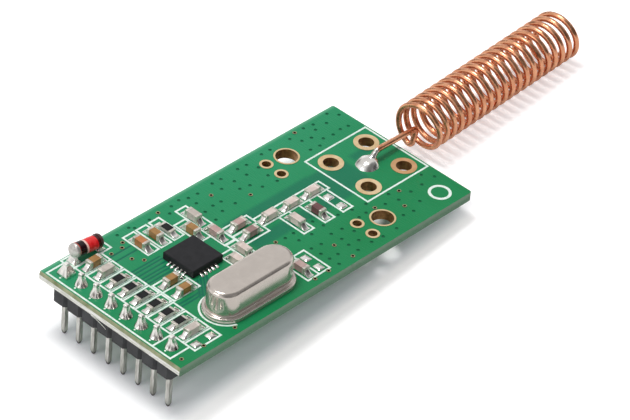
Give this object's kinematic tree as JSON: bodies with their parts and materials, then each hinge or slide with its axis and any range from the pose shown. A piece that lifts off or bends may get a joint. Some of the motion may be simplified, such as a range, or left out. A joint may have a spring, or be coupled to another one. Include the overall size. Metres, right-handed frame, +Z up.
{
  "type": "wireless transceiver module",
  "caption": "Small radio transceiver module: a green circuit board with a pin header, metal-can crystal, leadless chip and chip parts, and a coiled copper wire antenna at the far end.",
  "frame": {"origin": "middle of the header's pin row, on the header housing's seating face", "axes": "+X along the board from the header to the antenna, +Y across the board, +Z up out of the board's component side"},
  "size_m": [0.0651, 0.0187, 0.0118],
  "materials": {
    "board_laminate": "green solder mask over glass laminate, satin",
    "legend_ink": "white printed ink",
    "gold_plating": "flash gold over copper",
    "solder": "bright tin solder",
    "header_plastic": "moulded black plastic",
    "tinned_pin": "tinned brass",
    "package_plastic": "moulded dark epoxy, fine matt",
    "can_metal": "satin nickel-plated sheet",
    "seal_glass": "dark sealing glass",
    "quartz": "polished quartz",
    "diode_glass": "clear glass over red-oxide studs",
    "silicon": "silicon die",
    "antenna_copper": "bare copper wire",
    "brown_ceramic": "brown fired ceramic, with tinned end bands",
    "grey_ceramic": "fired ceramic with tinned end bands",
    "pink_ceramic": "fired ceramic with tinned end bands",
    "white_ceramic": "fired ceramic with tinned end bands",
    "resistor_glaze": "dark glaze on a white alumina plate"
  },
  "bodies": {
    "root": {"antenna_coil": "antenna_copper", "antenna_hole_linings": "gold_plating", "antenna_solder": "solder", "board_legend": "legend_ink", "capacitor_1": "brown_ceramic", "capacitor_10": "brown_ceramic", "capacitor_11": "pink_ceramic", "capacitor_12": "pink_ceramic", "capacitor_13": "white_ceramic", "capacitor_14": "white_ceramic", "capacitor_15": "white_ceramic", "capacitor_16": "pink_ceramic", "capacitor_17": "grey_ceramic", "capacitor_18": "grey_ceramic", "capacitor_19": "pink_ceramic", "capacitor_2": "grey_ceramic", "capacitor_3": "pink_ceramic", "capacitor_4": "brown_ceramic", "capacitor_5": "brown_ceramic", "capacitor_6": "brown_ceramic", "capacitor_7": "grey_ceramic", "capacitor_8": "pink_ceramic", "capacitor_9": "brown_ceramic", "chip_leads": "tinned_pin", "chip_package": "package_plastic", "circuit_board": "board_laminate", "crystal_base": "can_metal", "crystal_blank": "quartz", "crystal_can": "can_metal", "crystal_leads": "tinned_pin", "crystal_seals": "seal_glass", "crystal_solder": "solder", "diode_banded_stud": "tinned_pin", "diode_die": "silicon", "diode_plain_stud": "tinned_pin", "diode_sleeve": "diode_glass", "header_housing": "header_plastic", "header_pin_1": "tinned_pin", "header_pin_2": "tinned_pin", "header_pin_3": "tinned_pin", "header_pin_4": "tinned_pin", "header_pin_5": "tinned_pin", "header_pin_6": "tinned_pin", "header_pin_7": "tinned_pin", "header_pin_8": "tinned_pin", "header_solder": "solder", "inductor": "white_ceramic", "lead_hole_linings": "gold_plating", "mounting_hole_linings": "gold_plating", "resistor_1": "resistor_glaze", "resistor_2": "resistor_glaze", "resistor_3": "resistor_glaze", "resistor_4": "resistor_glaze", "resistor_5": "resistor_glaze", "resistor_6": "resistor_glaze", "resistor_7": "resistor_glaze", "solder_joints": "solder", "solder_pads": "solder", "test_hole_linings": "gold_plating", "via_linings": "gold_plating"}
  },
  "joints": []
}
